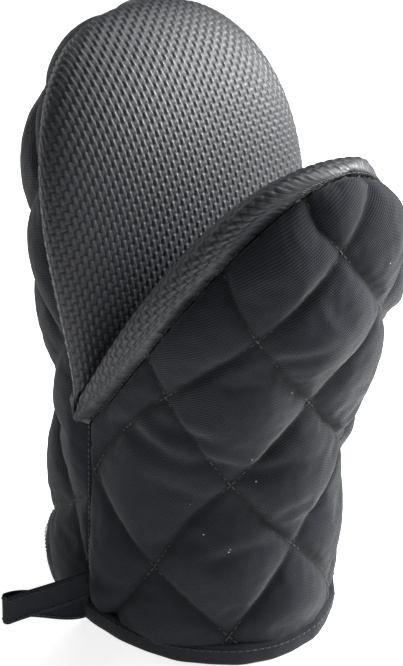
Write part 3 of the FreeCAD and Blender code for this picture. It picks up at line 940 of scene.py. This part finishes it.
# %% The twill weave: slanted ribs, each broken into floats where a yarn dives under
def build_twill():
    tree, given, out = new_group(
        "twill weave",
        [("Cloth", "NodeSocketVector", None), ("Pitch", "NodeSocketFloat", 0.9 * MM),
         ("Slant", "NodeSocketFloat", 0.4)],
        [("Height", "NodeSocketFloat"), ("Rib", "NodeSocketFloat"), ("Fuzz", "NodeSocketFloat")])
    turned = tree.nodes.new("ShaderNodeVectorRotate")
    turned.rotation_type = "Z_AXIS"
    drift = noise(tree, given["Cloth"], 90.0, 2.0)
    shift = tree.nodes.new("ShaderNodeCombineXYZ")
    put(tree, shift.inputs["Y"], ramp(tree, drift, 0.0, 1.0, -0.35 * MM, 0.35 * MM))
    put(tree, turned.inputs["Vector"], vector_maths(tree, "ADD", given["Cloth"], shift.outputs[0]))
    put(tree, turned.inputs["Angle"], maths(tree, "MULTIPLY", given["Slant"], -1.0))
    apart = tree.nodes.new("ShaderNodeSeparateXYZ")
    put(tree, apart.inputs[0], turned.outputs[0])
    cycles_up = maths(tree, "DIVIDE", apart.outputs["Y"], given["Pitch"])
    rib = maths(tree, "SINE", maths(tree, "MULTIPLY", cycles_up, math.tau))
    row = maths(tree, "FLOOR", maths(tree, "ADD", cycles_up, 0.25))
    cycles_along = maths(tree, "ADD", maths(tree, "DIVIDE", apart.outputs["X"], given["Pitch"]),
                         maths(tree, "MULTIPLY", row, 0.37))
    float_wave = maths(tree, "SINE", maths(tree, "MULTIPLY", cycles_along, math.tau * 0.85))
    rib_up = ramp(tree, rib, -1.0, 1.0)
    floats = ramp(tree, float_wave, -1.0, 0.4, 0.55, 1.0)
    fuzz = noise(tree, given["Cloth"], 2600.0, 3.0, 0.65)
    yarn = maths(tree, "MULTIPLY", rib_up, floats)
    put(tree, out["Height"], maths(tree, "ADD", yarn, maths(tree, "MULTIPLY", fuzz, 0.45)))
    put(tree, out["Rib"], yarn)
    put(tree, out["Fuzz"], fuzz)
    return tree


twill_weave = build_twill()
print("group made:", twill_weave.name)


# %% Lint: sparse pale specks and short hairs that cling to dark cloth
def build_lint():
    tree, given, out = new_group(
        "lint", [("Place", "NodeSocketVector", None), ("Amount", "NodeSocketFloat", 0.5)],
        [("Specks", "NodeSocketFloat")])
    cells = tree.nodes.new("ShaderNodeTexVoronoi")
    put(tree, cells.inputs["Vector"], given["Place"])
    cells.inputs["Scale"].default_value = 260.0
    chosen = tree.nodes.new("ShaderNodeSeparateColor")
    put(tree, chosen.inputs[0], cells.outputs["Color"])
    small = ramp(tree, cells.outputs["Distance"], 0.10, 0.05)
    rare = maths(tree, "GREATER_THAN", chosen.outputs[0], ramp(tree, given["Amount"], 0.0, 1.0, 1.0, 0.94))
    put(tree, out["Specks"], maths(tree, "MULTIPLY", small, rare))
    return tree


lint = build_lint()
print("group made:", lint.name)


# %% Wear: cloudy light and dark, as handled cloth has
def build_wear():
    tree, given, out = new_group(
        "wear", [("Place", "NodeSocketVector", None), ("Size", "NodeSocketFloat", 30.0)],
        [("Cloud", "NodeSocketFloat"), ("Fine", "NodeSocketFloat")])
    put(tree, out["Cloud"], noise(tree, given["Place"], given["Size"], 4.0, 0.6))
    fine_scale = maths(tree, "MULTIPLY", given["Size"], 14.0)
    put(tree, out["Fine"], noise(tree, given["Place"], fine_scale, 3.0, 0.6))
    return tree


wear = build_wear()
print("group made:", wear.name)

# %% [markdown]
# ## Finishes
# Cotton twill is almost matt, with a weak sheen where its fibres stand up at grazing angles. Neoprene is a
# satin rubber: smoother on top of its ribs, duller in the grooves. All colours here are a hair off neutral,
# towards blue, as black-dyed cotton and foam rubber are.

# %% Cloth finishes
def start_material(name, roughness, sheen=0.0, sheen_roughness=0.4, specular=0.5):
    material = bpy.data.materials.new(name)
    material.use_nodes = True
    tree = material.node_tree
    shader = tree.nodes["Principled BSDF"]
    shader.inputs["Roughness"].default_value = roughness
    shader.inputs["Sheen Weight"].default_value = sheen
    shader.inputs["Sheen Roughness"].default_value = sheen_roughness
    shader.inputs["Specular IOR Level"].default_value = specular
    return material, tree, shader


def cloth_coordinates(tree):
    uv = tree.nodes.new("ShaderNodeUVMap")
    uv.uv_map = "cloth"
    return uv.outputs[0]


def object_coordinates(tree):
    return tree.nodes.new("ShaderNodeTexCoord").outputs["Object"]


def bump(tree, height, strength, distance, shader):
    node = tree.nodes.new("ShaderNodeBump")
    put(tree, node.inputs["Height"], height)
    node.inputs["Strength"].default_value = strength
    node.inputs["Distance"].default_value = distance
    tree.links.new(node.outputs[0], shader.inputs["Normal"])


TWILL_DARK, TWILL_LIGHT = (0.0028, 0.0036, 0.0052, 1), (0.0128, 0.0154, 0.0208, 1)


def twill_material(name, slant, pitch=0.9 * MM, lint_amount=0.5):
    material, tree, shader = start_material(name, 0.85, sheen=0.1, sheen_roughness=0.35, specular=0.2)
    cloth, place = cloth_coordinates(tree), object_coordinates(tree)
    weave = use(tree, twill_weave, Cloth=cloth, Pitch=pitch, Slant=slant)
    clouds = use(tree, wear, Place=place, Size=26.0)
    specks = use(tree, lint, Place=place, Amount=lint_amount)
    base = mix(tree, ramp(tree, weave["Rib"], 0.0, 0.9, 0.15, 1.0), TWILL_DARK, TWILL_LIGHT)
    # colour times a cloudy wear tone and times painted shade along the quilting rows, which darkens it to 0.3
    # at a row
    shade = maths(tree, "MULTIPLY", ramp(tree, clouds["Cloud"], 0.3, 0.7, 0.82, 1.16),
                  ramp(tree, on_points(tree, "painted_row_shade"), 0.0, 1.0, 1.0, 0.3))
    dusted = mix(tree, specks["Specks"], shaded(tree, base, shade), (0.42, 0.43, 0.45, 1))
    put(tree, shader.inputs["Base Color"], dusted)
    put(tree, shader.inputs["Roughness"], ramp(tree, weave["Fuzz"], 0.2, 0.8, 0.78, 0.95))
    bump(tree, weave["Height"], 0.9, 0.16 * MM, shader)
    print("finish made:", name)
    return material


front_twill = twill_material("front twill", math.radians(38))
back_twill = twill_material("back twill", math.radians(50))
binding_twill = twill_material("binding twill", math.radians(58), pitch=0.8 * MM, lint_amount=0.2)
tape_twill = twill_material("tape twill", math.radians(86), pitch=0.75 * MM, lint_amount=0.2)


# %% Neoprene
def neoprene_material():
    material, tree, shader = start_material("neoprene", 0.5, specular=0.4)
    place = object_coordinates(tree)
    relief = on_points(tree, "relief")
    clouds = use(tree, wear, Place=place, Size=34.0)
    specks = use(tree, lint, Place=place, Amount=0.12)
    # painted shade: the colour is darkest in the grooves, where the relief is low, and lighter on the ribs
    base = mix(tree, ramp(tree, relief, 0.1, 0.8), (0.006, 0.0062, 0.0065, 1),
               (0.0265, 0.0291, 0.0358, 1))
    toned = shaded(tree, base, ramp(tree, clouds["Cloud"], 0.3, 0.7, 0.88, 1.12))
    put(tree, shader.inputs["Base Color"], mix(tree, specks["Specks"], toned, (0.35, 0.35, 0.36, 1)))
    rough = maths(tree, "ADD", ramp(tree, relief, 0.0, 1.0, 0.64, 0.43),
                  ramp(tree, clouds["Fine"], 0.3, 0.7, -0.05, 0.07))
    put(tree, shader.inputs["Roughness"], rough)
    bump(tree, noise(tree, place, 3200.0, 3.0, 0.6), 0.35, 0.05 * MM, shader)
    return material


neoprene = neoprene_material()
print("finish made:", neoprene.name)


# %% Thread, lining and wadding
def thread_material():
    material, tree, shader = start_material("sewing thread", 0.55, sheen=0.3, specular=0.4)
    place = object_coordinates(tree)
    ply = noise(tree, place, 1500.0, 2.0)
    put(tree, shader.inputs["Base Color"], mix(tree, ply, (0.006, 0.007, 0.008, 1), (0.018, 0.020, 0.024, 1)))
    bump(tree, ply, 0.4, 0.05 * MM, shader)
    return material


def lining_material():
    material, tree, shader = start_material("lining", 0.9, sheen=0.2, specular=0.2)
    cloth = cloth_coordinates(tree)
    apart = tree.nodes.new("ShaderNodeSeparateXYZ")
    put(tree, apart.inputs[0], cloth)
    turns = math.tau / (0.7 * MM)
    waves = [maths(tree, "SINE", maths(tree, "MULTIPLY", apart.outputs[axis], turns)) for axis in "XY"]
    plain = ramp(tree, maths(tree, "MULTIPLY", *waves), -1.0, 1.0)
    clouds = use(tree, wear, Place=object_coordinates(tree), Size=30.0)
    base = mix(tree, plain, (0.016, 0.017, 0.019, 1), (0.055, 0.057, 0.062, 1))
    put(tree, shader.inputs["Base Color"], mix(tree, ramp(tree, clouds["Cloud"], 0.3, 0.7, 0.0, 0.35), base,
                                               (0.02, 0.021, 0.023, 1)))
    bump(tree, plain, 0.7, 0.1 * MM, shader)
    return material


def wadding_material():
    material, tree, shader = start_material("wadding", 0.95, sheen=0.3, specular=0.15)
    place = object_coordinates(tree)
    fibres = noise(tree, place, 420.0, 6.0, 0.7)
    put(tree, shader.inputs["Base Color"], mix(tree, fibres, (0.42, 0.41, 0.38, 1), (0.80, 0.79, 0.75, 1)))
    bump(tree, fibres, 0.8, 0.6 * MM, shader)
    return material


thread, lining_cotton, wadding_fibre = thread_material(), lining_material(), wadding_material()
print("finishes made:", thread.name, lining_cotton.name, wadding_fibre.name)

# %% [markdown]
# ## Putting the pieces on the frame
# The side seam threads, the binding, its topstitch and the bar tack are attached to the cuff, and the loop
# and its stitches to the loop. The panels and pads cross the bend of a jaw; they, their thread, wadding and
# lining get their finishes with their placement baked in, and are attached to no body.


def on_jaw(piece, material):
    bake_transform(piece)
    piece.data.materials.append(material)


def on_body(piece, body, material):
    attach(piece, body)
    piece.data.materials.append(material)


for quilt in (front_quilt, back_quilt):
    subdivide(quilt)
on_jaw(front_quilt, front_twill)
on_jaw(back_quilt, back_twill)
on_jaw(front_stitches, thread)
on_jaw(back_stitches, thread)
on_jaw(front_wadding, wadding_fibre)
on_jaw(back_wadding, wadding_fibre)
on_jaw(front_lining, lining_cotton)
on_jaw(back_lining, lining_cotton)
on_jaw(finger_grip, neoprene)
on_jaw(thumb_grip, neoprene)
on_jaw(finger_grip_lining, lining_cotton)
on_jaw(thumb_grip_lining, lining_cotton)
on_jaw(finger_thread, thread)
on_jaw(thumb_thread, thread)
on_body(left_thread, "cuff", thread)
on_body(right_thread, "cuff", thread)
on_body(binding, "cuff", binding_twill)
on_body(topstitch, "cuff", thread)
on_body(bar_tack, "cuff", thread)
on_body(loop_tape, "loop", tape_twill)
on_body(loop_stitches, "loop", thread)

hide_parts("front_shell_cuff", "thumb_fold", "front_shell_thumb")
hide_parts("back_shell_cuff", "knuckle_fold", "back_shell_fingers")
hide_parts("front_wadding_cuff", "front_wadding_thumb")
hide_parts("back_wadding_cuff", "back_wadding_fingers")
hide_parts("front_lining_cuff", "front_lining_thumb")
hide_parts("back_lining_cuff", "back_lining_fingers")
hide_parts("grip_pad_fingers", "crotch_fold")
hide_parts("grip_pad_thumb")
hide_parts("grip_lining_fingers")
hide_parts("grip_lining_thumb")
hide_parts("finger_seam")
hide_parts("thumb_seam")
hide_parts("side_seam_left")
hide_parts("side_seam_right")
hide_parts("hem_binding")
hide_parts("loop_bar_tack")
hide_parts("hanging_loop")

# %% [markdown]
# ## Studio
# A pale floor, a key light high on the right, one from above, a weak fill on the left and a soft light
# behind, so that the back isn't lost. The camera looks down a little from the left of the thumb side, with a
# long lens.

# %% Floor, lights and world
def make_floor():
    bm = bmesh.new()
    bmesh.ops.create_grid(bm, x_segments=1, y_segments=1, size=3.0)
    floor = new_piece("studio_floor", bm)
    material, tree, shader = start_material("pale floor", 0.9, specular=0.1)
    shader.inputs["Base Color"].default_value = (0.8, 0.8, 0.8, 1)
    shader.inputs["Emission Color"].default_value = (1, 1, 1, 1)
    shader.inputs["Emission Strength"].default_value = 0.8
    floor.data.materials.append(material)


make_floor()
AIM = Vector((0, 0, 0.1275))


def area_light(name, place, width, power):
    data = bpy.data.lights.new(name, "AREA")
    data.size, data.energy = width, power
    lamp = bpy.data.objects.new(name, data)
    lamp.location = place
    lamp.rotation_euler = (AIM - Vector(place)).to_track_quat("-Z", "Y").to_euler()
    SHEET.objects.link(lamp)


area_light("key", (0.70, -0.38, 0.60), 0.35, 27.0)
area_light("top", (0.30, -0.10, 0.95), 0.4, 6.0)
area_light("fill", (-0.8, -0.9, 0.45), 0.9, 0.7)
area_light("back", (-0.25, 0.95, 0.6), 0.6, 4.0)

world = bpy.data.worlds.new("studio")
world.use_nodes = True
sky = world.node_tree
seen = sky.nodes["Background"]
lighting = sky.nodes.new("ShaderNodeBackground")
lighting.inputs["Strength"].default_value = 0.15
seen.inputs["Color"].default_value = lighting.inputs["Color"].default_value = (1, 1, 1, 1)
choose = sky.nodes.new("ShaderNodeMixShader")
sky.links.new(sky.nodes.new("ShaderNodeLightPath").outputs["Is Camera Ray"], choose.inputs[0])
sky.links.new(lighting.outputs[0], choose.inputs[1])
sky.links.new(seen.outputs[0], choose.inputs[2])
sky.links.new(choose.outputs[0], sky.nodes["World Output"].inputs[0])
bpy.context.scene.world = world
bpy.context.scene.view_settings.view_transform = "Standard"
print("four lights round the mitt")

# %% Camera
AZIMUTH, DISTANCE, EYE_HEIGHT, ROLL = math.radians(-40.05), 0.540, 0.3739, 0.039
eye = Vector((DISTANCE * math.sin(AZIMUTH), -DISTANCE * math.cos(AZIMUTH), EYE_HEIGHT))
forward = (AIM - eye).normalized()
right = forward.cross(Vector((0, 0, 1))).normalized()
above = right.cross(forward)
right, above = (right * math.cos(ROLL) + above * math.sin(ROLL),
                above * math.cos(ROLL) - right * math.sin(ROLL))
camera_data = bpy.data.cameras.new("camera")
camera_data.sensor_fit = "VERTICAL"
camera_data.sensor_height = 36.0
camera_data.lens = 75.9
camera_data.shift_x, camera_data.shift_y = 0.002, -0.0165
camera = bpy.data.objects.new("camera", camera_data)
camera.matrix_world = Matrix.Translation(eye) @ Matrix((right, above, -forward)).transposed().to_4x4()
SHEET.objects.link(camera)
bpy.context.scene.camera = camera
print("the eye stands", round(1000 * (eye - AIM).length), "mm from the mitt")
